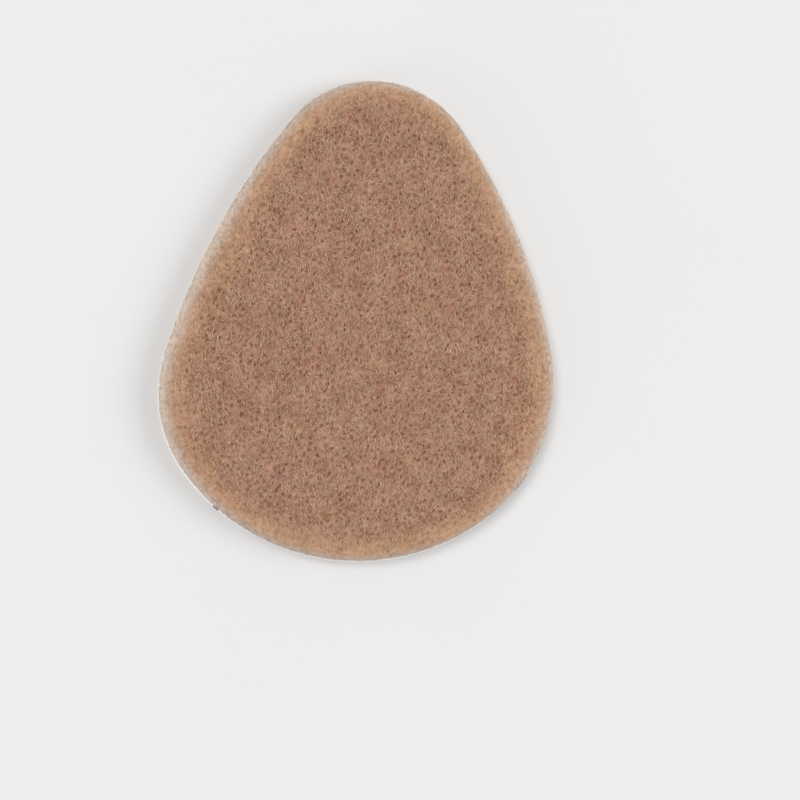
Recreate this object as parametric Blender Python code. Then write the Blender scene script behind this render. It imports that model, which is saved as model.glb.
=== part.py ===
"""A felt metatarsal pad that lies on its release liner, felt side up.

Lengths are in metres, with +Z up. The origin is on the liner's underside, on the pad's long axis and
halfway along the felt. The narrow tip points along +Y and the broad base along -Y.
"""

import math
from typing import NamedTuple

import bmesh
import bpy
from mathutils import Vector

# Outline of the felt, seen from above
PAD_LENGTH = 0.0700
LEFT_HALF_WIDTH = 0.0289
RIGHT_HALF_WIDTH = 0.0290
TIP_RADIUS = 0.0156
LEFT_FLANK_RADIUS = 0.1000
RIGHT_FLANK_RADIUS = 0.0835
LEFT_HIP_OFFSET = 0.0095
RIGHT_HIP_OFFSET = 0.0040
BASE_FLATNESS = 0.0026

# Felt body
EDGE_THICKNESS = 0.0046
CROWN_RISE = 0.0002
RIM_WIDTH = 0.0034

# Release liner
LINER_THICKNESS = 0.00015
LINER_MARGIN = 0.00010
LINER_SHIFT_RIGHT = 0.00020
LINER_SHIFT_BACK = 0.00025
ADHESIVE_GAP = 0.00020

# Length of the straight steps that an arc of the outline is divided into
ARC_STEP = 0.0018

# Felt turns sharper than this stay hard in the shading
SHARP_ANGLE = math.radians(50.0)

FELT_COLOR = (0.440, 0.262, 0.171, 1.0)
LINER_COLOR = (0.870, 0.870, 0.860, 1.0)


class RimRow(NamedTuple):
    """A level of the pared edge: how far in from the outline and how far up it lies."""

    inset_share: float  # of RIM_WIDTH
    height_share: float  # of EDGE_THICKNESS


class CrownRow(NamedTuple):
    """A level of the upper face: how far it lies from the rim towards the middle, and how high."""

    way_share: float  # of the way from the rim to the middle
    rise_share: float  # of CROWN_RISE


RIM_ROWS = (
    RimRow(0.00, 0.00),
    RimRow(0.03, 0.14),
    RimRow(0.07, 0.34),
    RimRow(0.12, 0.55),
    RimRow(0.17, 0.71),
    RimRow(0.23, 0.82),
    RimRow(0.31, 0.90),
    RimRow(0.43, 0.95),
    RimRow(0.60, 0.98),
    RimRow(1.00, 1.00),
)

CROWN_ROWS = (
    CrownRow(0.25, 0.44),
    CrownRow(0.50, 0.75),
    CrownRow(0.75, 0.94),
)


class Arc(NamedTuple):
    """An arc of the outline, with bearings counted from +Y towards the side that it is on."""

    centre: Vector
    radius: float
    start: float
    end: float


def bearing(way: Vector) -> float:
    """The angle of a direction from +Y towards +X."""
    return math.atan2(way.x, way.y)


def half_outline(half_width: float, flank_radius: float, hip_offset: float) -> list[Arc]:
    """The four tangent arcs of one side, from the tip round the flank and the hip to the base.

    The side is worked out as the one at +X, and the left side is its mirror image.
    """
    base_radius = max(LEFT_HALF_WIDTH, RIGHT_HALF_WIDTH) + BASE_FLATNESS
    hip_radius = half_width - hip_offset
    tip = Vector((0.0, PAD_LENGTH / 2 - TIP_RADIUS))
    base = Vector((0.0, base_radius - PAD_LENGTH / 2))
    hip_drop = math.sqrt((base_radius - hip_radius) ** 2 - hip_offset**2)
    hip = Vector((hip_offset, base.y - hip_drop))

    # The flank's circle holds the tip's and the hip's circles and touches both from outside
    to_tip = flank_radius - TIP_RADIUS
    to_hip = flank_radius - hip_radius
    between = hip - tip
    along = (to_tip**2 - to_hip**2 + between.length_squared) / (2 * between.length)
    aside = math.sqrt(to_tip**2 - along**2)
    way = between.normalized()
    flank = tip + along * way + aside * Vector((way.y, -way.x))

    tip_end = bearing(tip - flank)
    flank_end = bearing(hip - flank)
    hip_end = bearing(hip - base)
    return [
        Arc(tip, TIP_RADIUS, 0.0, tip_end),
        Arc(flank, flank_radius, tip_end, flank_end),
        Arc(hip, hip_radius, flank_end, hip_end),
        Arc(base, base_radius, hip_end, math.pi),
    ]


def arc_points(arcs: list[Arc], inset: float) -> list[Vector]:
    """Points along one side at the given distance inside the outline, without the last one."""
    points = []
    for arc in arcs:
        turn = arc.end - arc.start
        steps = math.ceil(turn * arc.radius / ARC_STEP)
        for step in range(steps):
            angle = arc.start + turn * step / steps
            way = Vector((math.sin(angle), math.cos(angle)))
            points.append(arc.centre + (arc.radius - inset) * way)
    return points


def outline(inset: float) -> list[Vector]:
    """The closed outline, counterclockwise from the tip, at the given distance inside the felt's."""
    left = half_outline(LEFT_HALF_WIDTH, LEFT_FLANK_RADIUS, LEFT_HIP_OFFSET)
    right = half_outline(RIGHT_HALF_WIDTH, RIGHT_FLANK_RADIUS, RIGHT_HIP_OFFSET)
    base_end = Vector((0.0, inset - PAD_LENGTH / 2))
    down = [Vector((-point.x, point.y)) for point in arc_points(left, inset)]
    up = arc_points(right, inset)[1:]
    return down + [base_end] + up[::-1]


def add_ring(bm: bmesh.types.BMesh, points: list[Vector], height: float) -> list[bmesh.types.BMEdge]:
    """Adds a closed loop of edges through the points at the given height."""
    verts = [bm.verts.new((point.x, point.y, height)) for point in points]
    return [bm.edges.new(pair) for pair in zip(verts, verts[1:] + verts[:1])]


def felt_levels() -> list[tuple[list[Vector], float]]:
    """The felt's rings from the underside to the upper face, each with its height."""
    levels = [
        (outline(row.inset_share * RIM_WIDTH), row.height_share * EDGE_THICKNESS)
        for row in RIM_ROWS
    ]
    rim = levels[-1][0]
    middle = sum(rim, Vector((0.0, 0.0))) / len(rim)
    for row in CROWN_ROWS:
        ring = [point.lerp(middle, row.way_share) for point in rim]
        levels.append((ring, EDGE_THICKNESS + row.rise_share * CROWN_RISE))
    return levels


def make_felt_mesh() -> bpy.types.Mesh:
    """The felt body: a flat underside, the pared edge and the slightly crowned upper face."""
    bm = bmesh.new()
    loops = [add_ring(bm, points, height) for points, height in felt_levels()]
    for lower, upper in zip(loops, loops[1:]):
        bmesh.ops.bridge_loops(bm, edges=lower + upper)
    bmesh.ops.holes_fill(bm, edges=loops[0], sides=0)
    crown = bmesh.ops.holes_fill(bm, edges=loops[-1], sides=0)["faces"]
    peak = bmesh.ops.poke(bm, faces=crown)["verts"]
    for vert in peak:
        vert.co.z = EDGE_THICKNESS + CROWN_RISE
    return finish_mesh(bm, "felt_pad")


def make_liner_mesh() -> bpy.types.Mesh:
    """The flat paper liner: the felt's outline with a narrow margin, one sheet thick."""
    bm = bmesh.new()
    loop = add_ring(bm, outline(-LINER_MARGIN), 0.0)
    sheet = bmesh.ops.holes_fill(bm, edges=loop, sides=0)["faces"]
    raised = bmesh.ops.extrude_face_region(bm, geom=sheet, use_keep_orig=True)["geom"]
    upper = [part for part in raised if isinstance(part, bmesh.types.BMVert)]
    bmesh.ops.translate(bm, verts=upper, vec=(0.0, 0.0, LINER_THICKNESS))
    return finish_mesh(bm, "release_liner")


def finish_mesh(bm: bmesh.types.BMesh, name: str) -> bpy.types.Mesh:
    """Turns the faces outward, writes the mesh and shades it smooth between its hard edges."""
    bmesh.ops.recalc_face_normals(bm, faces=bm.faces[:])
    mesh = bpy.data.meshes.new(name)
    bm.to_mesh(mesh)
    bm.free()
    mesh.shade_smooth()
    mesh.set_sharp_from_angle(angle=SHARP_ANGLE)
    return mesh


def make_material(name: str, color: tuple[float, ...], roughness: float) -> bpy.types.Material:
    """A non-metallic Principled BSDF material."""
    material = bpy.data.materials.new(name)
    material.use_nodes = True
    shader = material.node_tree.nodes["Principled BSDF"]
    shader.inputs["Base Color"].default_value = color
    shader.inputs["Roughness"].default_value = roughness
    shader.inputs["Metallic"].default_value = 0.0
    return material


def add_object(mesh: bpy.types.Mesh, material: bpy.types.Material, place: tuple[float, ...]) -> None:
    """Adds a named object that carries the mesh and its material at the given place."""
    mesh.materials.append(material)
    piece = bpy.data.objects.new(mesh.name, mesh)
    piece.location = place
    bpy.context.scene.collection.objects.link(piece)


def main() -> None:
    """Clears the scene and builds the felt body and its liner."""
    for old in list(bpy.data.objects):
        bpy.data.objects.remove(old, do_unlink=True)
    add_object(
        make_liner_mesh(),
        make_material("liner_paper", LINER_COLOR, 0.45),
        (LINER_SHIFT_RIGHT, -LINER_SHIFT_BACK, 0.0),
    )
    add_object(
        make_felt_mesh(),
        make_material("tan_felt", FELT_COLOR, 0.95),
        (0.0, 0.0, LINER_THICKNESS + ADHESIVE_GAP),
    )


main()
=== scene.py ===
"""Dresses the felt metatarsal pad that lies, felt side up, on its release liner.

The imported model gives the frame. The felt's plain solid is replaced by a finely meshed body with needle
marks, and by the matted fibres that cover it. The liner keeps its solid and gets a paper finish.
"""

from __future__ import annotations

import logging
import math
from dataclasses import dataclass, field
from enum import Enum

import bmesh
import bpy
import numpy as np
from mathutils import Matrix, Vector, kdtree, noise
from mathutils.bvhtree import BVHTree


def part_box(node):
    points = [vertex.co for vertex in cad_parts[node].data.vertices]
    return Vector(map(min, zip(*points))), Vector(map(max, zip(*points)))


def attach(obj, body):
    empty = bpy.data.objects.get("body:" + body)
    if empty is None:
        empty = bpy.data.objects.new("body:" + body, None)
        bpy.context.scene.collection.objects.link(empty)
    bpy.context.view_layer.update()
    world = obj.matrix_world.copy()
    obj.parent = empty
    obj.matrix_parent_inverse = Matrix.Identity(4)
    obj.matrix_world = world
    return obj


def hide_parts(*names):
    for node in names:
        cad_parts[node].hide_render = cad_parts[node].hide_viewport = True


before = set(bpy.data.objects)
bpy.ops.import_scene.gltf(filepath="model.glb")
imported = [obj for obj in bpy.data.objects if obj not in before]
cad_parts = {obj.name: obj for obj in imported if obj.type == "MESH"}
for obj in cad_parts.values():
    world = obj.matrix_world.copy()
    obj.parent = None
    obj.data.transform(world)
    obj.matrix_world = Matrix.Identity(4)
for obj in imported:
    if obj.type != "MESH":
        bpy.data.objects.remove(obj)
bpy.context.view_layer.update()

LOG = logging.getLogger("metatarsal_pad")

ROOT = "root"
FELT_NODE = "felt_pad"
LINER_NODE = "release_liner"

MM = 0.001

# Marks that the felt's meshes carry, and the map that the strands are baked by
RIM_MARK = "rim"
PATCH_MARK = "patch"
# The tone mark holds the felt's own tone together with painted shade in the needle marks and at the
# strands' sunk ends.
TONE_AND_SHADE_MARK = "tone"
BAKE_MAP = "OFBake"

# Numbers of a colour Mix node's sockets
MIX_SHARE, MIX_FIRST, MIX_SECOND, MIX_RESULT = 0, 6, 7, 2

Array = np.ndarray
Mesh = bpy.types.Mesh
Piece = bpy.types.Object
Node = bpy.types.Node
Socket = bpy.types.NodeSocket
Sockets = tuple[tuple[str, str], ...]  # names, each with its socket's kind, such as Float
Span = tuple[float, float]  # the least and the greatest value
Color = tuple[float, float, float, float]
Marks = tuple[Array, Array, Array]  # rim, patch and tone

WHITE: Color = (1.0, 1.0, 1.0, 1.0)


class FibreKind(Enum):
    """The sorts of fibre that show on the felt."""

    MATTED = "matted_fibres"
    FINE = "fine_fibres"
    FUZZ = "fuzz_fibres"


class VertexValue(Enum):
    """What is read at a mesh's vertices."""

    PLACE = "co"
    NORMAL = "normal"


def smooth_step(values: Array, low: float, high: float) -> Array:
    """Eases from 0 at low to 1 at high."""
    share = np.clip((values - low) / (high - low), 0.0, 1.0)
    return share * share * (3.0 - 2.0 * share)


def grow(start: float | Array, share: Array) -> Array:
    """Grows evenly from start where the share is 0 to 1 where it is 1."""
    return start + (1.0 - start) * share


def unit(vectors: Array) -> Array:
    """Scales each row to a length of 1."""
    return vectors / np.maximum(np.linalg.norm(vectors, axis=-1, keepdims=True), 1e-12)


def turned(ways: Array, axes: Array, angles: Array) -> Array:
    """Turns each direction about its own axis, which stands square to it."""
    angles = angles[:, None]
    return ways * np.cos(angles) + np.cross(axes, ways) * np.sin(angles)


def fade(height: float, reach: float) -> float:
    """Fades from 1 at no height to 0 at the reach."""
    return min(max(1.0 - height / reach, 0.0), 1.0)


def read_vertices(mesh: Mesh, what: VertexValue) -> Array:
    """Reads three numbers at each of a mesh's vertices.

    Args:
        mesh: the mesh.
        what: which of its values.

    Returns:
        The numbers, a row for each vertex.
    """
    values = np.empty(len(mesh.vertices) * 3)
    mesh.vertices.foreach_get(what.value, values)
    return values.reshape(-1, 3)


def move_vertices(mesh: Mesh, places: Array) -> None:
    """Moves a mesh's vertices to new places, a row for each vertex."""
    mesh.vertices.foreach_set("co", places.ravel())
    mesh.update()


def add_object(name: str, data: bpy.types.ID) -> Piece:
    """Adds an object to the scene.

    Args:
        name: the object's name.
        data: the mesh, light or camera that it carries.

    Returns:
        The new object, at the origin.
    """
    made = bpy.data.objects.new(name, data)
    bpy.context.scene.collection.objects.link(made)
    return made


@dataclass(frozen=True)
class Cloud:
    """Soft seeded noise, read at places in the row frame."""

    size: float  # of its largest lumps, in metres
    octaves: int  # layers, each finer than the last
    seed: int  # moves the noise
    roughness: float = 1.0
    layer_ratio: float = 2.0
    seed_steps: tuple[float, float, float] = (17.3, 5.1, 9.7)

    def read(self, points: Array) -> Array:
        """Reads the noise.

        Args:
            points: places, a row each.

        Returns:
            A value for each place, mostly from -1 to 1.
        """
        shift = Vector([self.seed * step for step in self.seed_steps])
        layers = (self.roughness, self.layer_ratio, self.octaves)
        return np.array([noise.fractal(Vector(point) / self.size + shift, *layers) for point in points])


class NodeSheet:
    """Adds and links shader nodes in a material's tree or in a group's."""

    def __init__(self, tree: bpy.types.NodeTree) -> None:
        """Keeps the tree that the nodes go into."""
        self.tree = tree

    def add(self, kind: str, **settings: object) -> Node:
        """Adds a node.

        Args:
            kind: the node's type, without the leading ShaderNode.
            settings: properties to set on it.

        Returns:
            The new node.
        """
        node = self.tree.nodes.new(f"ShaderNode{kind}")
        for name, value in settings.items():
            setattr(node, name, value)
        return node

    def feed(self, node: Node, values: dict[str | int, object]) -> None:
        """Fills a node's inputs.

        Args:
            node: the node.
            values: each input's name or number, with the output to link to it or the value to set.
        """
        for key, value in values.items():
            if isinstance(value, Socket):
                self.tree.links.new(value, node.inputs[key])
            else:
                node.inputs[key].default_value = value

    def math(self, operation: str, *values: object) -> Socket:
        """Adds a Math node.

        Args:
            operation: the node's operation, such as MULTIPLY.
            values: its inputs in order, each a number or an output to link.

        Returns:
            The node's output.
        """
        node = self.add("Math", operation=operation)
        self.feed(node, dict(enumerate(values)))
        return node.outputs[0]

    def mark(self, name: str) -> Socket:
        """Reads a mark that the mesh carries."""
        return self.add("Attribute", attribute_name=name).outputs["Fac"]

    def mix(self, blend: str, share: object, first: object, second: object) -> Socket:
        """Mixes two colours.

        Args:
            blend: how they are mixed, such as MIX or MULTIPLY.
            share: the factor, a number or an output to link.
            first: the lower colour, the same.
            second: the upper colour, the same.

        Returns:
            The mixed colour.
        """
        node = self.add("Mix", data_type="RGBA", blend_type=blend)
        self.feed(node, {MIX_SHARE: share, MIX_FIRST: first, MIX_SECOND: second})
        return node.outputs[MIX_RESULT]

    def ramp(self, value: Socket, stops: tuple[tuple[float, Color], ...]) -> Socket:
        """Adds a colour ramp.

        Args:
            value: the output that runs along it.
            stops: its places from 0 to 1 in order, each with the colour there.

        Returns:
            The ramp's colour.
        """
        node = self.add("ValToRGB")
        elements = node.color_ramp.elements
        while len(elements) < len(stops):
            elements.new(0.5)
        for element, (place, color) in zip(elements, stops):
            element.position = place
            element.color = color
        self.feed(node, {"Fac": value})
        return node.outputs["Color"]

    def bump(self, shader: Node, height: Socket, strength: float, depth: float) -> None:
        """Gives a shader a bump.

        Args:
            shader: the shader.
            height: the output that the bump follows.
            strength: how much of it shows, from 0 to 1.
            depth: its depth in metres.
        """
        node = self.add("Bump")
        self.feed(node, {"Strength": strength, "Distance": depth, "Height": height})
        self.feed(shader, {"Normal": node.outputs["Normal"]})


@dataclass(frozen=True)
class SharedGroup:
    """What every node group shares: its name, its sockets and that it is made only once."""

    name: str
    inputs: Sockets
    outputs: Sockets

    def fill(self, sheet: NodeSheet, source: Node, result: Node) -> None:
        """Adds the nodes between the group's input node and its output node."""
        raise NotImplementedError

    def group(self) -> bpy.types.ShaderNodeTree:
        """Makes the group, if it isn't there yet.

        Returns:
            The group.
        """
        tree = bpy.data.node_groups.get(self.name)
        if tree is None:
            tree = bpy.data.node_groups.new(self.name, "ShaderNodeTree")
            for side, sockets in (("INPUT", self.inputs), ("OUTPUT", self.outputs)):
                for socket, kind in sockets:
                    tree.interface.new_socket(socket, in_out=side, socket_type=f"NodeSocket{kind}")
            source, result = (tree.nodes.new(kind) for kind in ("NodeGroupInput", "NodeGroupOutput"))
            self.fill(NodeSheet(tree), source, result)
        return tree


@dataclass(frozen=True)
class FeltTint(SharedGroup):
    """The colours of dyed felt, from its pale pared rim to its middle."""

    name: str = "felt_tint"
    inputs: Sockets = (("Rim", "Float"), ("Patch", "Float"), ("Tone", "Float"))
    outputs: Sockets = (("Color", "Color"),)
    rim_stops: tuple[tuple[float, Color], ...] = (
        (0.00, (0.855, 0.728, 0.585, 1.0)),
        (0.12, (0.598, 0.498, 0.420, 1.0)),
        (0.21, (0.506, 0.389, 0.311, 1.0)),
        (0.34, (0.480, 0.313, 0.204, 1.0)),
        (0.60, (0.471, 0.290, 0.182, 1.0)),
        (1.00, (0.432, 0.264, 0.180, 1.0)),
    )
    ochre: Color = (1.00, 1.01, 0.955, 1.0)
    rose: Color = (1.035, 0.965, 1.00, 1.0)
    # The tone's two ends: the darkest, deep and saturated, is partly the felt's own dark fibres and
    # partly painted shade between them; the lightest, pale and greyish, is partly light fibres and partly
    # painted sheen.
    darkest: Color = (0.38, 0.21, 0.12, 1.0)
    lightest: Color = (1.58, 1.79, 1.92, 1.0)

    def fill(self, sheet: NodeSheet, source: Node, result: Node) -> None:
        """Multiplies the rim's colour by the patch's hue and the tone's light.

        Args:
            sheet: the group's nodes.
            source: its input node.
            result: its output node.
        """
        base = sheet.ramp(source.outputs["Rim"], self.rim_stops)
        tint = sheet.mix("MIX", source.outputs["Patch"], self.ochre, self.rose)
        hued = sheet.mix("MULTIPLY", 1.0, base, tint)
        light = sheet.mix("MIX", source.outputs["Tone"], self.darkest, self.lightest)
        sheet.feed(result, {"Color": sheet.mix("MULTIPLY", 1.0, hued, light)})

    def paint(self, sheet: NodeSheet, shader: Node, tone: Socket) -> None:
        """Colours a shader by the mesh's rim and patch marks and by a tone.

        Args:
            sheet: the material's nodes.
            shader: the shader.
            tone: the output that runs from 0 for the darkest to 1 for the lightest.
        """
        tint = sheet.add("Group", node_tree=self.group())
        sheet.feed(tint, {"Rim": sheet.mark(RIM_MARK), "Patch": sheet.mark(PATCH_MARK), "Tone": tone})
        sheet.feed(shader, {"Base Color": tint.outputs["Color"]})


@dataclass(frozen=True)
class FineGrain(SharedGroup):
    """A fine two-sized grain for bumps and mottling."""

    name: str = "fine_grain"
    inputs: Sockets = (("Vector", "Vector"), ("Coarse", "Float"), ("Fine", "Float"))
    outputs: Sockets = (("Grain", "Float"), ("Mottle", "Float"))
    detail: float = 2.0
    fine_share: float = 0.5
    whole_share: float = 0.6667  # of the sum of both

    def fill(self, sheet: NodeSheet, source: Node, result: Node) -> None:
        """Adds the fine noise to the coarse one.

        Args:
            sheet: the group's nodes.
            source: its input node.
            result: its output node.
        """
        values = []
        for size in ("Coarse", "Fine"):
            grain = sheet.add("TexNoise")
            place, scale = source.outputs["Vector"], source.outputs[size]
            sheet.feed(grain, {"Vector": place, "Scale": scale, "Detail": self.detail})
            values.append(grain.outputs["Fac"])
        both = sheet.math("MULTIPLY_ADD", values[1], self.fine_share, values[0])
        grain = sheet.math("MULTIPLY", both, self.whole_share)
        sheet.feed(result, {"Grain": grain, "Mottle": values[0]})


@dataclass(frozen=True)
class Finish:
    """What every finish shares: its name and the shader's even values."""

    name: str
    roughness: float
    specular: float

    def shade(self, sheet: NodeSheet, shader: Node) -> None:
        """Adds the nodes that feed the shader."""
        raise NotImplementedError

    def material(self) -> bpy.types.Material:
        """Builds the material.

        Returns:
            The material.
        """
        material = bpy.data.materials.new(self.name)
        material.use_nodes = True
        sheet = NodeSheet(material.node_tree)
        shader = material.node_tree.nodes["Principled BSDF"]
        sheet.feed(shader, {"Roughness": self.roughness, "Specular IOR Level": self.specular})
        self.shade(sheet, shader)
        return material


@dataclass(frozen=True)
class GrainedFinish(Finish):
    """A finish with a fine grain, which is given by two scales in lumps a metre."""

    coarse: float
    fine: float

    def grain(self, sheet: NodeSheet) -> Node:
        """Places the fine grain group, read at the object's own coordinates.

        Args:
            sheet: the material's nodes.

        Returns:
            The group's node.
        """
        node = sheet.add("Group", node_tree=FineGrain().group())
        place = sheet.add("TexCoord").outputs["Object"]
        sheet.feed(node, {"Vector": place, "Coarse": self.coarse, "Fine": self.fine})
        return node


@dataclass(frozen=True)
class FeltFinish(GrainedFinish):
    """The felt's body: tinted by its marks, with a fine nap."""

    name: str = "pressed_felt"
    roughness: float = 0.95
    specular: float = 0.15
    coarse: float = 2600.0
    fine: float = 7000.0
    speckle: float = 0.5  # how much of the grain shows in the tone
    bump: float = 0.6
    bump_depth: float = 0.08 * MM

    def shade(self, sheet: NodeSheet, shader: Node) -> None:
        """Tints the shader, speckles it and gives it a nap.

        Args:
            sheet: the material's nodes.
            shader: its shader.
        """
        grain = self.grain(sheet).outputs["Grain"]
        tone = sheet.math("MULTIPLY_ADD", grain, self.speckle, sheet.mark(TONE_AND_SHADE_MARK))
        FeltTint().paint(sheet, shader, sheet.math("SUBTRACT", tone, self.speckle / 2))
        sheet.bump(shader, grain, self.bump, self.bump_depth)


@dataclass(frozen=True)
class FibreFinish(Finish):
    """The felt's fibres: each with a tone of its own, darkened by painted shade where it sinks in."""

    name: str = "felt_fibre"
    roughness: float = 0.8
    specular: float = 0.25

    def shade(self, sheet: NodeSheet, shader: Node) -> None:
        """Tints the shader."""
        FeltTint().paint(sheet, shader, sheet.mark(TONE_AND_SHADE_MARK))


@dataclass(frozen=True)
class LinerFinish(GrainedFinish):
    """The liner's coated white paper, with plain rows of navy dashes."""

    name: str = "release_paper"
    roughness: float = 0.42
    specular: float = 0.4
    coarse: float = 900.0
    fine: float = 4200.0
    satin_spread: float = 0.08
    bump: float = 0.2
    bump_depth: float = 0.02 * MM
    paper: Color = (0.84, 0.84, 0.83, 1.0)
    shaded_paper: Color = (0.78, 0.78, 0.77, 1.0)
    ink: Color = (0.020, 0.022, 0.110, 1.0)
    dash_pitch: float = 30.0 * MM
    row_pitch: float = 8.45 * MM
    dash_length: float = 3.0 * MM
    dash_width: float = 0.9 * MM
    row_angle: float = math.radians(57.0)
    first_dash: tuple[float, float] = (25.4 * MM, -21.8 * MM)
    flat_from: float = 0.5  # least slope of a printed face's normal

    def dashes(self, sheet: NodeSheet) -> Socket:
        """Draws rows of dashes, every other row moved by half a pitch, on the flat faces only.

        Args:
            sheet: the material's nodes.

        Returns:
            1 on a dash and 0 beside it.
        """
        centred = sheet.add("Mapping", vector_type="TEXTURE")
        place = sheet.add("TexCoord").outputs["Object"]
        turn = (0.0, 0.0, self.row_angle)
        sheet.feed(centred, {"Vector": place, "Location": (*self.first_dash, 0.0), "Rotation": turn})
        parts = sheet.add("SeparateXYZ")
        sheet.feed(parts, {"Vector": centred.outputs["Vector"]})
        row = sheet.math("DIVIDE", parts.outputs["Y"], self.row_pitch)
        number = sheet.math("ROUND", row)
        across = sheet.math("ABSOLUTE", sheet.math("SUBTRACT", row, number))
        odd = sheet.math("FLOORED_MODULO", number, 2.0)
        along = sheet.math("DIVIDE", parts.outputs["X"], self.dash_pitch)
        along = sheet.math("MULTIPLY_ADD", odd, 0.5, along)
        along = sheet.math("ABSOLUTE", sheet.math("SUBTRACT", along, sheet.math("ROUND", along)))
        thin = sheet.math("LESS_THAN", across, self.dash_width / self.row_pitch / 2)
        short = sheet.math("LESS_THAN", along, self.dash_length / self.dash_pitch / 2)
        facing = sheet.add("SeparateXYZ")
        sheet.feed(facing, {"Vector": sheet.add("NewGeometry").outputs["Normal"]})
        steep = sheet.math("ABSOLUTE", facing.outputs["Z"])
        flat = sheet.math("GREATER_THAN", steep, self.flat_from)
        return sheet.math("MULTIPLY", flat, sheet.math("MULTIPLY", thin, short))

    def shade(self, sheet: NodeSheet, shader: Node) -> None:
        """Gives the shader its paper, its dashes and its uneven satin.

        Args:
            sheet: the material's nodes.
            shader: its shader.
        """
        grain = self.grain(sheet)
        mottle = grain.outputs["Mottle"]
        paper = sheet.mix("MIX", mottle, self.shaded_paper, self.paper)
        printed = sheet.mix("MIX", self.dashes(sheet), paper, self.ink)
        satin = sheet.add("MapRange")
        least, most = self.roughness - self.satin_spread, self.roughness + self.satin_spread
        sheet.feed(satin, {"Value": mottle, "To Min": least, "To Max": most})
        sheet.feed(shader, {"Base Color": printed, "Roughness": satin.outputs["Result"]})
        sheet.bump(shader, grain.outputs["Grain"], self.bump, self.bump_depth)


@dataclass(frozen=True)
class FloorFinish(GrainedFinish):
    """A plain pale floor with a barely visible tooth."""

    name: str = "pale_floor"
    roughness: float = 0.9
    specular: float = 0.1
    coarse: float = 40.0
    fine: float = 700.0
    light: Color = (0.617, 0.617, 0.617, 1.0)
    dim: Color = (0.609, 0.609, 0.609, 1.0)

    def shade(self, sheet: NodeSheet, shader: Node) -> None:
        """Gives the shader its two greys."""
        mottle = self.grain(sheet).outputs["Mottle"]
        sheet.feed(shader, {"Base Color": sheet.mix("MIX", mottle, self.dim, self.light)})


@dataclass
class FeltOutline:
    """The felt's outline on its underside, as the frame's solid gives it."""

    reach: float = 0.01 * MM  # height up to which a corner belongs to the underside
    digits: int = 7
    corners: Array = field(init=False)

    def __post_init__(self) -> None:
        """Reads the outline's corners and puts them in order round the pad."""
        places = read_vertices(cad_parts[FELT_NODE].data, VertexValue.PLACE)
        low = places[places[:, 2] < places[:, 2].min() + self.reach, :2]
        low = np.unique(low.round(self.digits), axis=0)
        ways = low - low.mean(axis=0)
        self.corners = low[np.argsort(np.arctan2(ways[:, 1], ways[:, 0]))]

    def inset(self, points: Array) -> Array:
        """Measures how far each place lies from the outline, seen from above.

        Args:
            points: places, a row each.

        Returns:
            The distances in metres.
        """
        starts = self.corners
        steps = np.roll(starts, -1, axis=0) - starts
        lengths = (steps**2).sum(axis=1)
        best = np.full(len(points), np.inf)
        for start, step, length in zip(starts, steps, lengths):
            ways = points[:, :2] - start
            share = np.clip(ways @ step / length, 0.0, 1.0)
            best = np.minimum(best, np.linalg.norm(ways - share[:, None] * step, axis=1))
        return best


@dataclass
class FeltSurface:
    """The felt's smooth surface, which its fibres are scattered over and follow."""

    mesh: Mesh
    wall_share: float  # how thickly the wall is covered, as a share of the upper face
    lowest_slope: float = -0.2  # a face whose normal points further down stays bare
    upper_band: Span = (0.3, 0.8)  # slopes from the wall's to the upper face's
    triangles: Array = field(init=False)
    normals: Array = field(init=False)
    weights: Array = field(init=False)
    lowest: float = field(init=False)
    tree: BVHTree = field(init=False)

    def __post_init__(self) -> None:
        """Reads the mesh's faces and works out how thickly each is covered."""
        self.mesh.calc_loop_triangles()
        places = read_vertices(self.mesh, VertexValue.PLACE)
        corners = np.empty(len(self.mesh.loop_triangles) * 3, dtype=np.int32)
        self.mesh.loop_triangles.foreach_get("vertices", corners)
        self.triangles = places[corners.reshape(-1, 3)]
        first, second, third = (self.triangles[:, i] for i in range(3))
        cross = np.cross(second - first, third - first)
        area = np.linalg.norm(cross, axis=1) / 2
        self.normals = unit(cross)
        self.lowest = places[:, 2].min()
        slope = self.normals[:, 2]
        covered = np.where(slope > self.lowest_slope, 1.0, 0.0)
        weight = area * covered * grow(self.wall_share, smooth_step(slope, *self.upper_band))
        self.weights = weight / weight.sum()
        self.tree = BVHTree.FromPolygons(
            [tuple(place) for place in places],
            [tuple(face.vertices) for face in self.mesh.polygons],
        )

    def sample(self, rng: np.random.Generator, count: int) -> tuple[Array, Array]:
        """Picks places spread over the surface.

        Args:
            rng: the seeded source of chance.
            count: how many places.

        Returns:
            The places and the surface's normals there.
        """
        chosen = rng.choice(len(self.weights), count, p=self.weights)
        first, second = rng.random((2, count, 1))
        over = first + second > 1.0
        first, second = np.where(over, 1.0 - first, first), np.where(over, 1.0 - second, second)
        a, b, c = (self.triangles[chosen, i] for i in range(3))
        return a + first * (b - a) + second * (c - a), self.normals[chosen]

    def settle(self, points: Array) -> tuple[Array, Array]:
        """Finds the nearest places on the surface, and its normals there."""
        found = [self.tree.find_nearest(Vector(point)) for point in points]
        return np.array([item[0][:] for item in found]), np.array([item[1][:] for item in found])


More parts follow.
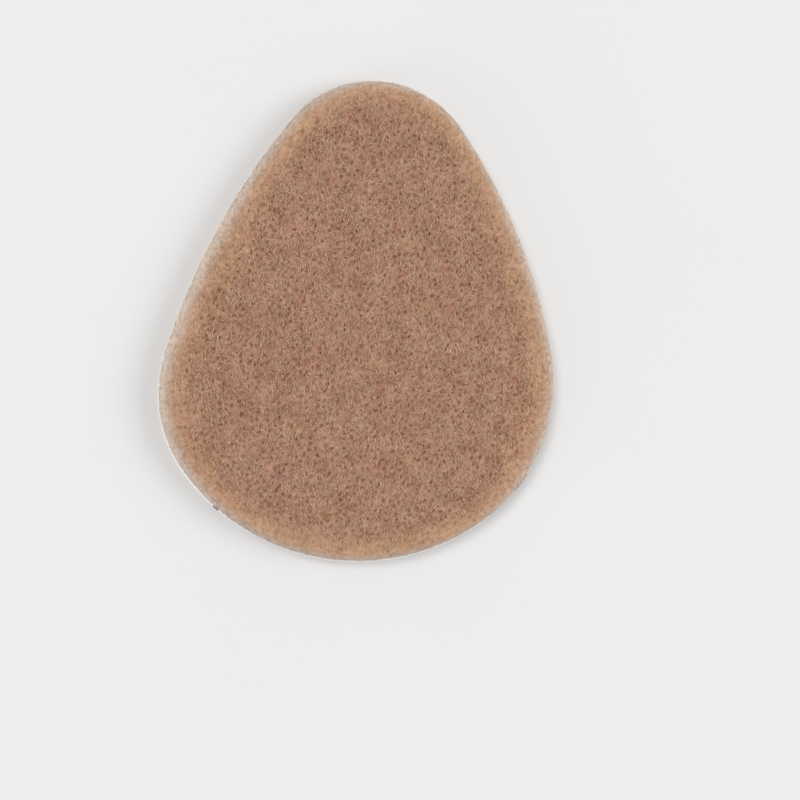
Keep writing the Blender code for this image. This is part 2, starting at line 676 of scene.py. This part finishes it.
@dataclass
class NeedleMarks:
    """The small holes that the needles leave in the felt."""

    tries: int = 60000
    spacing: float = 0.92 * MM
    least_spacing: float = 0.8  # of the spacing
    clear_radius: float = 0.25 * MM
    depth: float = 0.44 * MM
    pit_radius: float = 0.18 * MM
    weakest: float = 0.45
    strength_range: float = 0.55
    strength_power: float = 1.5
    edge_share: float = 0.7  # of the clear radius, that a fibre is moved out to
    kept_share: float = 0.3  # of its own distance, which comes on top
    seed: int = 5
    places: list[Vector] = field(init=False, default_factory=list)
    strengths: Array = field(init=False)
    tree: kdtree.KDTree = field(init=False)

    def scatter(self, surface: FeltSurface) -> None:
        """Places the marks on the surface, none nearer to another than about the spacing.

        Args:
            surface: the felt's smooth surface.
        """
        rng = np.random.default_rng(self.seed)
        kept: dict[tuple[int, ...], Vector] = {}
        least = self.least_spacing * self.spacing
        for place in surface.sample(rng, self.tries)[0]:
            key = tuple(int(v) for v in np.floor(place / self.spacing))
            near = [
                kept.get((key[0] + i, key[1] + j, key[2] + k))
                for i in (-1, 0, 1)
                for j in (-1, 0, 1)
                for k in (-1, 0, 1)
            ]
            spot = Vector(place)
            if all(other is None or (other - spot).length > least for other in near):
                kept[key] = spot
        self.places = list(kept.values())
        chance = rng.random(len(self.places))
        self.strengths = self.weakest + self.strength_range * chance**self.strength_power
        self.tree = kdtree.KDTree(len(self.places))
        for index, spot in enumerate(self.places):
            self.tree.insert(spot, index)
        self.tree.balance()

    def nearest(self, points: Array) -> tuple[Array, Array, Array]:
        """Finds each place's nearest mark.

        Args:
            points: places, a row each.

        Returns:
            The marks' places, the distances to them, and their strengths.
        """
        found = [self.tree.find(Vector(point)) for point in points]
        spots = np.array([item[0][:] for item in found])
        gaps = np.array([item[2] for item in found])
        return spots, gaps, self.strengths[[item[1] for item in found]]

    def push(self, points: Array) -> Array:
        """Moves places that lie in a mark out to its edge, as fibres lie round a needle's hole.

        Args:
            points: places, a row each.

        Returns:
            The places, moved where they lay in a mark.
        """
        spots, gaps, strengths = self.nearest(points)
        edge = self.clear_radius * strengths * self.edge_share + self.kept_share * gaps
        return spots + unit(points - spots) * np.maximum(gaps, edge)[:, None]

    def hollow(self, points: Array) -> Array:
        """Says how deep in a mark each place lies, from 0 outside to 1 in the deepest."""
        _, gaps, strengths = self.nearest(points)
        return strengths * np.exp(-((gaps / self.pit_radius) ** 2))


@dataclass
class FeltBody:
    """The felt's body: the solid's shape in a fine even mesh, with lumps, nap and needle marks."""

    name: str = "felt_body"
    voxel: float = 0.26 * MM
    weld_distance: float = 0.001 * MM
    smoothing_rounds: int = 4
    smoothing: float = 0.5

    # The wall's foot, which comes down to the liner and is drawn in, so that the liner shows
    drop_reach: float = 1.0 * MM
    liner_clearance: float = 0.02 * MM
    foot_reach: float = 1.8 * MM
    foot_tuck: float = 0.20 * MM

    # The underside's faces, by slope and by height in voxels
    underside_slope: float = -0.98
    underside_reach: float = 0.3

    lumps: Cloud = Cloud(6.0 * MM, 2, 1)
    lump_height: float = 0.06 * MM
    lump_reach: float = 2.0 * MM
    nap: Cloud = Cloud(0.7 * MM, 3, 2)
    nap_height: float = 0.07 * MM
    nap_band: Span = (0.2 * MM, 0.8 * MM)

    # The pale rim, which is narrower at both ends of the pad
    rim_reach: float = 6.0 * MM
    end_narrowing: float = 0.45
    end_band: Span = (0.55, 0.95)

    # The felt's looseness, by the distance from the outline
    pared_band: Span = (0.7 * MM, 4.7 * MM)
    pared_ease: float = 0.65
    wall_band: Span = (0.25 * MM, 0.80 * MM)
    wall_looseness: float = 0.45
    wall_share: float = 0.75

    # Tones from 0 for the darkest to 1 for the lightest
    shades: Cloud = Cloud(3.0 * MM, 2, 3)
    patches: Cloud = Cloud(2.6 * MM, 3, 7)
    patch_strength: float = 0.9
    rim_tone: float = 0.46
    top_shade: float = 0.17
    rim_contrast: float = 0.2
    nap_tone: float = 0.12
    shade_tone: float = 0.06
    # Painted shade: the felt is darkened in the needle marks, where the hollows are in shade.
    hollow_painted_shade: float = 0.45

    marks: NeedleMarks = field(default_factory=NeedleMarks)
    outline: FeltOutline = field(default_factory=FeltOutline)
    surface: FeltSurface = field(init=False)

    def remeshed(self) -> Mesh:
        """Copies the felt's solid into an even mesh of small faces.

        Returns:
            The new mesh.
        """
        bm = bmesh.new()
        bm.from_mesh(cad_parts[FELT_NODE].data)
        bmesh.ops.remove_doubles(bm, verts=bm.verts[:], dist=self.weld_distance)
        bmesh.ops.recalc_face_normals(bm, faces=bm.faces[:])
        rough = bpy.data.meshes.new("rough_felt")
        bm.to_mesh(rough)
        bm.free()
        holder = add_object("rough_felt", rough)
        remesh = holder.modifiers.new("even", "REMESH")
        remesh.mode = "VOXEL"
        remesh.voxel_size = self.voxel
        remesh.use_smooth_shade = True
        view = bpy.context.evaluated_depsgraph_get()
        mesh = bpy.data.meshes.new_from_object(holder.evaluated_get(view))
        bpy.data.objects.remove(holder, do_unlink=True)
        bpy.data.meshes.remove(rough)
        return mesh

    def soften(self, mesh: Mesh) -> None:
        """Smooths the mesh's steps, lets it down to the liner and draws in the foot of its wall.

        Args:
            mesh: the even mesh, which is changed.
        """
        bm = bmesh.new()
        bm.from_mesh(mesh)
        low = min(vert.co.z for vert in bm.verts)
        axes = {"use_axis_x": True, "use_axis_y": True, "use_axis_z": True}
        for _ in range(self.smoothing_rounds):
            bmesh.ops.smooth_vert(bm, verts=bm.verts[:], factor=self.smoothing, **axes)
        bm.normal_update()
        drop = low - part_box(LINER_NODE)[1].z - self.liner_clearance
        for vert in bm.verts:
            height = vert.co.z - low
            outward = vert.normal.copy()
            outward.z = 0.0
            vert.co -= outward * self.foot_tuck * fade(height, self.foot_reach)
            vert.co.z -= drop * fade(height, self.drop_reach)
        self.merge_underside(bm, low - drop)
        bm.to_mesh(mesh)
        bm.free()

    def merge_underside(self, bm: bmesh.types.BMesh, low: float) -> None:
        """Makes the hidden underside one face.

        Args:
            bm: the felt, already let down, which is changed.
            low: the underside's height.
        """
        bm.normal_update()
        ceiling = low + self.underside_reach * self.voxel
        under = [
            face
            for face in bm.faces
            if face.normal.z < self.underside_slope and face.calc_center_median().z < ceiling
        ]
        bmesh.ops.dissolve_faces(bm, faces=under, use_verts=False)
        loose = [edge for edge in bm.edges if not edge.link_faces]
        bmesh.ops.delete(bm, geom=loose, context="EDGES")
        loose = [vert for vert in bm.verts if not vert.link_edges]
        bmesh.ops.delete(bm, geom=loose, context="VERTS")

    def lift_lumps(self, mesh: Mesh) -> None:
        """Gives the upper face its slight broad unevenness.

        Args:
            mesh: the soft body, which is changed.
        """
        places = read_vertices(mesh, VertexValue.PLACE)
        top = places[:, 2].max()
        share = smooth_step(places[:, 2], top - self.lump_reach, top)
        places[:, 2] += share * self.lump_height * self.lumps.read(places)
        move_vertices(mesh, places)

    def ruffle(self, mesh: Mesh) -> None:
        """Raises the nap, sinks the needle marks, paints shade into them and writes the marks that the
        finish reads.

        Args:
            mesh: the smooth body, which is changed.
        """
        places = read_vertices(mesh, VertexValue.PLACE)
        normals = read_vertices(mesh, VertexValue.NORMAL)
        start, end = (self.surface.lowest + height for height in self.nap_band)
        above = smooth_step(places[:, 2], start, end)
        loose = self.loose_share(places)
        hollow = self.marks.hollow(places) * loose
        nap = self.nap.read(places)
        move = above * (nap * self.nap_height - hollow * self.marks.depth)
        shade = self.shade_tone * self.shades.read(places)
        # The tone is darkened in the needle marks: painted shade in the hollows.
        tone = self.nap_tone * nap + shade - self.hollow_painted_shade * hollow
        tone = self.rim_tone - self.top_shade * loose + grow(self.rim_contrast, loose) * tone
        marks = (self.rim_share(places), self.patch_share(places), np.clip(tone, 0.0, 1.0))
        write_marks(mesh, marks)
        move_vertices(mesh, places + normals * move[:, None])

    def rim_share(self, points: Array) -> Array:
        """Says how far in from the edge each place lies, from 0 to 1 past the rim's reach.

        Args:
            points: places, a row each.

        Returns:
            The shares, which grow faster at both ends of the pad, where the pale band is narrow.
        """
        lengthwise = np.abs(points[:, 1]) / np.maximum(np.hypot(points[:, 0], points[:, 1]), MM)
        pace = 1.0 + self.end_narrowing * smooth_step(lengthwise, *self.end_band)
        return np.clip(self.outline.inset(points) * pace / self.rim_reach, 0.0, 1.0)

    def loose_share(self, points: Array) -> Array:
        """Says how loose the felt is: 1 on top, 0 on the pared shoulder and between them on the wall.

        Args:
            points: places, a row each.

        Returns:
            The looseness at each place.
        """
        inset = self.outline.inset(points)
        wall = 1.0 - smooth_step(inset, *self.wall_band)
        start, end = self.pared_band
        top = np.clip((inset - start) / (end - start), 0.0, 1.0) ** self.pared_ease
        return np.maximum(top, self.wall_looseness * wall)

    def patch_share(self, points: Array) -> Array:
        """Says how rosy each place is, from 0 for ochre to 1 for rose, and even on the rim."""
        strength = self.patch_strength * self.patches.read(points) * self.loose_share(points)
        return np.clip(0.5 + strength, 0.0, 1.0)

    def build(self) -> Piece:
        """Returns:
            The body.
        """
        mesh = self.remeshed()
        self.soften(mesh)
        self.lift_lumps(mesh)
        self.surface = FeltSurface(mesh, self.wall_share)
        self.marks.scatter(self.surface)
        self.ruffle(mesh)
        mesh.shade_smooth()
        mesh.materials.clear()
        mesh.materials.append(FeltFinish().material())
        body = place_piece(self.name, mesh)
        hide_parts(FELT_NODE)
        return body


def write_marks(mesh: Mesh, marks: Marks) -> None:
    """Writes the marks that the felt's finishes read.

    Args:
        mesh: the mesh that gets them.
        marks: the rim, patch and tone of each vertex.
    """
    for name, values in zip((RIM_MARK, PATCH_MARK, TONE_AND_SHADE_MARK), marks):
        mark = mesh.attributes.new(name, "FLOAT", "POINT")
        mark.data.foreach_set("value", values.astype(np.float32))


def place_piece(name: str, mesh: Mesh) -> Piece:
    """Adds a piece of felt that rides on the part.

    Args:
        name: the piece's name.
        mesh: its mesh, already in the row frame.

    Returns:
        The new object, at the origin.
    """
    mesh.name = name
    piece = add_object(name, mesh)
    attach(piece, ROOT)
    return piece


@dataclass(frozen=True)
class FibreStyle:
    """How one sort of fibre lies on the felt."""

    kind: FibreKind
    strands: int
    pieces: int  # that the strands are joined into
    length: Span
    radius: Span
    rise: Span  # of the strand's highest point over the surface
    sink: float  # of its ends under the surface
    bend: float  # spread of its turns, in radians
    lean: float  # spread of its direction about the pad's length, in radians
    tone: Span
    seed: int
    segments: int = 3  # along each strand
    free_end: bool = False


MATTED = FibreStyle(
    kind=FibreKind.MATTED,
    strands=20000,
    pieces=3,
    length=(0.55 * MM, 1.20 * MM),
    radius=(0.036 * MM, 0.057 * MM),
    rise=(0.04 * MM, 0.20 * MM),
    sink=0.12 * MM,
    bend=0.30,
    lean=0.28,
    tone=(0.19, 0.89),
    seed=11,
)
FINE = FibreStyle(
    kind=FibreKind.FINE,
    strands=14000,
    pieces=2,
    length=(0.60 * MM, 1.45 * MM),
    radius=(0.027 * MM, 0.039 * MM),
    rise=(0.12 * MM, 0.32 * MM),
    sink=0.10 * MM,
    bend=0.32,
    lean=0.24,
    tone=(0.64, 1.0),
    seed=23,
)
FUZZ = FibreStyle(
    kind=FibreKind.FUZZ,
    strands=6000,
    pieces=1,
    segments=2,
    length=(0.30 * MM, 0.80 * MM),
    radius=(0.012 * MM, 0.022 * MM),
    rise=(0.15 * MM, 0.45 * MM),
    sink=0.04 * MM,
    bend=0.50,
    lean=3.0,
    tone=(0.60, 1.0),
    seed=37,
    free_end=True,
)


@dataclass(frozen=True)
class BakeLayout:
    """How the strands lie on the map that their colours are baked by.

    Tone runs across the map. Rows by rim lie up it, and patch runs up each row.
    """

    rows: int = 12
    margin: float = 0.005
    tone_width: float = 0.975
    row_margin: float = 0.04
    patch_height: float = 0.80
    corner_step: float = 0.003
    ring_step: float = 0.003
    corner_lift: float = 0.002

    def write(self, mesh: Mesh, marks: Marks, levels: int, sides: int) -> None:
        """Writes the map.

        Args:
            mesh: the joined strands.
            marks: the rim, patch and tone of each corner.
            levels: how many rings a strand has.
            sides: how many corners a ring has.
        """
        rim, patch, tone = marks
        corner = np.arange(len(tone)) % sides
        ring = np.arange(len(tone)) // sides % levels
        row = np.minimum(np.floor(rim * self.rows), self.rows - 1)
        across = self.margin + self.tone_width * tone + self.corner_step * corner
        up = (row + self.row_margin + self.patch_height * patch) / self.rows
        up = up + self.ring_step * ring + self.corner_lift * (corner == 1)
        loops = np.empty(len(mesh.loops), dtype=np.int32)
        mesh.loops.foreach_get("vertex_index", loops)
        layer = mesh.uv_layers.new(name=BAKE_MAP)
        layer.data.foreach_set("uv", np.stack([across, up], axis=1)[loops].ravel())


@dataclass
class StrandBatch:
    """The strands of one style while they are made."""

    style: FibreStyle
    rng: np.random.Generator
    points: Array  # of their centre lines, by strand, point and axis
    normals: Array  # the surface's, there
    ways: Array  # the strands' directions there
    middles: Array  # by strand and axis
    loose: Array  # how loose the felt is at the middles


@dataclass
class FibreCoat:
    """The fibres that cover the felt, each a thin three-sided strand along its surface."""

    body: FeltBody
    styles: tuple[FibreStyle, ...] = (MATTED, FINE, FUZZ)
    layout: BakeLayout = BakeLayout()

    # The strands' shape
    sides: int = 3
    first_turn: float = 0.25  # of a side
    end_share: float = 0.35
    taper_ends: Span = (0.02, 0.98)
    arch_power: float = 0.6
    slope_power: float = 1.3
    tilt: float = 0.3  # spread of their first slope
    later_bend: float = 0.5  # of the bend, added at each point

    # Their height, as a share of that on the upper face
    rim_rise: float = 0.20
    foot_rise: float = 0.30
    foot_clearance: float = 0.1 * MM  # a lower strand is left out

    rim_tone: float = 0.50
    rim_contrast: float = 0.34
    # Painted shade: a strand's ends, where it sinks into the felt, are darker.
    sunk_painted_shade: float = 0.45
    shade_tone: float = 0.12

    def batch(self, style: FibreStyle) -> StrandBatch:
        """Lays the centre lines of a style's strands over the surface.

        Args:
            style: how the fibres lie.

        Returns:
            The strands.
        """
        rng = np.random.default_rng(style.seed)
        surface, count = self.body.surface, style.strands
        points, normals = surface.sample(rng, count)
        aim = math.pi / 2 + style.lean * rng.standard_normal(count)
        ways = np.stack([np.cos(aim), np.sin(aim), self.tilt * rng.standard_normal(count)], axis=1)
        step = rng.uniform(*style.length, count) / style.segments
        swerve = style.bend * rng.standard_normal(count)
        lines, uprights, headings = [], [], []
        for _ in range(style.segments + 1):
            ways = unit(ways - (ways * normals).sum(axis=1, keepdims=True) * normals)
            lines.append(points)
            uprights.append(normals)
            headings.append(ways)
            swerve = swerve + self.later_bend * style.bend * rng.standard_normal(count)
            ways = turned(ways, normals, swerve)
            points, normals = surface.settle(points + ways * step[:, None])
        pushed = self.body.marks.push(np.concatenate(lines)).reshape(-1, count, 3).swapaxes(0, 1)
        uprights, headings = np.stack(uprights, 1), np.stack(headings, 1)
        middles = pushed[:, style.segments // 2]
        loose = self.body.loose_share(middles)
        return StrandBatch(style, rng, pushed, uprights, headings, middles, loose)

    def arches(self, style: FibreStyle) -> Array:
        """Gives the strands' shape, 0 for sunk to 1 for raised: an arch, or a slope to a free end."""
        share = np.linspace(0.0, 1.0, style.segments + 1)
        return share**self.slope_power if style.free_end else np.sin(math.pi * share) ** self.arch_power

    def lifted(self, batch: StrandBatch) -> Array:
        """Arches the centre lines over the surface.

        Args:
            batch: the strands.

        Returns:
            The lines' new points, by strand, point and axis.
        """
        style, low = batch.style, self.body.surface.lowest
        foot = smooth_step(batch.middles[:, 2], low, low + self.body.foot_reach)
        rise = batch.rng.uniform(*style.rise, style.strands) * grow(self.rim_rise, batch.loose)
        rise = rise * grow(self.foot_rise, foot)
        lift = (style.sink + rise[:, None]) * self.arches(style) - style.sink
        return batch.points + batch.normals * lift[..., None]

    def tubes(self, batch: StrandBatch, centres: Array) -> Array:
        """Puts a ring of corners round each point of the arched centre lines.

        Args:
            batch: the strands.
            centres: the arched lines' points.

        Returns:
            The corners, by strand, ring, corner and axis.
        """
        style = batch.style
        share = np.linspace(0.0, 1.0, style.segments + 1)
        taper = grow(self.end_share, np.sin(math.pi * np.clip(share, *self.taper_ends)))
        radius = batch.rng.uniform(*style.radius, style.strands)[:, None] * taper
        across = unit(np.cross(batch.normals, batch.ways))
        turns = 2.0 * math.pi * (np.arange(self.sides) + self.first_turn) / self.sides
        aside, above = np.cos(turns)[:, None], np.sin(turns)[:, None]
        spokes = aside * across[:, :, None, :] + above * batch.normals[:, :, None, :]
        return centres[:, :, None, :] + radius[:, :, None, None] * spokes

    def tones(self, batch: StrandBatch) -> Array:
        """Works out the strands' tones, calmer on the rim and darkened with painted shade where a strand
        sinks in.

        Args:
            batch: the strands.

        Returns:
            The tones from 0 to 1, by strand and ring.
        """
        style = batch.style
        tone = batch.rng.uniform(*style.tone, style.strands)
        tone = tone + self.shade_tone * self.body.shades.read(batch.middles)
        tone = self.rim_tone + grow(self.rim_contrast, batch.loose) * (tone - self.rim_tone)
        # Painted shade where the strand's ends sink into the felt.
        sunk = 1.0 - (1.0 - self.sunk_painted_shade) * batch.loose[:, None]
        return np.clip(tone[:, None] * grow(sunk, self.arches(style)), 0.0, 1.0)

    def strands(self, style: FibreStyle) -> tuple[Array, Marks]:
        """Makes every strand of a style.

        Args:
            style: how the fibres lie.

        Returns:
            The corners by strand, ring, corner and axis, and the marks by strand and ring.
        """
        batch = self.batch(style)
        centres = self.lifted(batch)
        rings = self.tubes(batch, centres)
        tone = self.tones(batch)
        even = np.ones_like(tone)
        rim = self.body.rim_share(batch.middles)[:, None] * even
        patch = self.body.patch_share(batch.middles)[:, None] * even
        clear = centres[..., 2].min(axis=1) > self.body.surface.lowest + self.foot_clearance
        return rings[clear], (rim[clear], patch[clear], tone[clear])

    def strand_mesh(self, name: str, rings: Array, marks: Marks) -> Mesh:
        """Joins strands into one mesh.

        Args:
            name: the mesh's name.
            rings: the corners, by strand, ring, corner and axis.
            marks: the rim, patch and tone of each strand and ring.

        Returns:
            The mesh, with every strand closed at both ends.
        """
        count, levels, sides = rings.shape[:3]
        first = (np.arange(count) * levels * sides)[:, None, None]
        level = first + (np.arange(levels - 1) * sides)[None, :, None]
        side = np.arange(sides)[None, None, :]
        after = (side + 1) % sides
        quads = [level + side, level + after, level + sides + after, level + sides + side]
        faces = np.stack(quads, axis=-1).reshape(-1, 4).tolist()
        ends = [np.arange(sides)[::-1], (levels - 1) * sides + np.arange(sides)]
        faces += np.concatenate([first[:, 0] + end for end in ends]).tolist()
        mesh = bpy.data.meshes.new(name)
        mesh.from_pydata(rings.reshape(-1, 3), [], faces)
        mesh.shade_smooth()
        spread = tuple(np.repeat(mark.ravel(), sides) for mark in marks)
        write_marks(mesh, spread)
        self.layout.write(mesh, spread, levels, sides)
        return mesh

    def build(self) -> list[Piece]:
        """Makes the fibres in a few joined pieces.

        Returns:
            The pieces.
        """
        finish = FibreFinish().material()
        made = []
        for style in self.styles:
            rings, marks = self.strands(style)
            for number in range(style.pieces):
                name = f"{style.kind.value}_{number + 1}"
                some = slice(number, None, style.pieces)
                mesh = self.strand_mesh(name, rings[some], tuple(mark[some] for mark in marks))
                mesh.materials.append(finish)
                made.append(place_piece(name, mesh))
        return made


@dataclass
class ReleaseLiner:
    """The paper liner, which keeps its solid and gets its finish."""

    finish: LinerFinish = LinerFinish()

    def dress(self) -> Piece:
        """Gives the liner's solid its paper.

        Returns:
            The liner.
        """
        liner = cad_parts[LINER_NODE]
        paper = self.finish.material()
        for slot in liner.material_slots:
            slot.material = paper
        return liner


@dataclass(frozen=True)
class Lamp:
    """A soft even light."""

    name: str
    way: tuple[float, float, float]  # that it comes from
    spread: float  # its width in degrees
    strength: float  # power for each square metre

    def hang(self) -> None:
        """Adds the light to the scene."""
        light = bpy.data.lights.new(self.name, "SUN")
        light.angle = math.radians(self.spread)
        light.energy = self.strength
        holder = add_object(self.name, light)
        holder.matrix_world = Vector(self.way).to_track_quat("Z", "Y").to_matrix().to_4x4()


@dataclass
class Studio:
    """The floor, the lights and the camera."""

    lamps: tuple[Lamp, ...] = (
        Lamp("key", (-0.34, 0.28, 0.86), 25.0, 1.72),
        Lamp("fill", (0.70, 0.10, 0.60), 37.0, 1.36),
        Lamp("low_fill", (-0.65, -0.45, 0.22), 35.0, 0.55),
    )
    room_light: float = 0.57
    floor_size: float = 4.0
    floor_cells: int = 8

    # The camera, and where the pad's middle lands in the picture
    pixels: int = 800
    pixels_per_mm: float = 6.85
    pad_middle_px: tuple[float, float] = (362.1, 322.6)
    roll: float = math.radians(4.5)
    from_left: float = math.radians(6.5)
    from_tip: float = math.radians(2.0)
    lens: float = 85.0
    sensor: float = 36.0
    nearest: float = 0.01
    farthest: float = 20.0

    def floor(self) -> Piece:
        """Makes the floor that the pad lies on.

        Returns:
            The floor.
        """
        bm = bmesh.new()
        cells = self.floor_cells
        bmesh.ops.create_grid(bm, x_segments=cells, y_segments=cells, size=self.floor_size / 2)
        mesh = bpy.data.meshes.new("floor")
        bm.to_mesh(mesh)
        bm.free()
        mesh.materials.append(FloorFinish().material())
        floor = add_object("floor", mesh)
        return floor

    def lights(self) -> None:
        """Lights the pad softly from the upper left, with an even fill."""
        for lamp in self.lamps:
            lamp.hang()
        world = bpy.data.worlds.new("room")
        world.use_nodes = True
        room = world.node_tree.nodes["Background"]
        NodeSheet(world.node_tree).feed(room, {"Color": WHITE, "Strength": self.room_light})
        bpy.context.scene.world = world

    def camera(self) -> None:
        """Stands the camera over the pad, so that the pad's middle lands on its place in the picture."""
        target = Vector((0.0, 0.0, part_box(FELT_NODE)[0].z))
        distance = self.pixels / self.pixels_per_mm * MM * self.lens / self.sensor
        back = Vector((-math.sin(self.from_left), math.sin(self.from_tip), 1.0)).normalized()
        up = Vector((-math.sin(self.roll), math.cos(self.roll), 0.0))
        right = up.cross(back).normalized()
        straight = Matrix((right, back.cross(right), back)).transposed()
        focal = self.lens / self.sensor * self.pixels
        aside = self.pad_middle_px[0] - self.pixels / 2
        below = self.pad_middle_px[1] - self.pixels / 2
        aim = Vector((aside, -below, -focal)).normalized()
        swing = Vector((0.0, 0.0, -1.0)).rotation_difference(aim).to_matrix()
        data = bpy.data.cameras.new("camera")
        data.lens = self.lens
        data.sensor_width = self.sensor
        data.clip_start, data.clip_end = self.nearest, self.farthest
        camera = add_object("camera", data)
        facing = (straight @ swing.inverted()).to_4x4()
        camera.matrix_world = Matrix.Translation(target + back * distance) @ facing
        bpy.context.scene.camera = camera


def report(piece: Piece) -> None:
    """Logs a finished piece with its count of faces."""
    LOG.info("%s: %d faces", piece.name, len(piece.data.polygons))


def main() -> None:
    """Builds and dresses the pad in its studio."""
    logging.basicConfig(level=logging.INFO, format="%(name)s %(message)s")
    bpy.context.scene.view_settings.view_transform = "Standard"
    studio = Studio()
    studio.camera()
    report(studio.floor())
    studio.lights()
    felt = FeltBody()
    report(felt.build())
    LOG.info("needle marks: %d", len(felt.marks.places))
    for piece in FibreCoat(felt).build():
        report(piece)
    report(ReleaseLiner().dress())


if __name__ == "__main__":
    main()
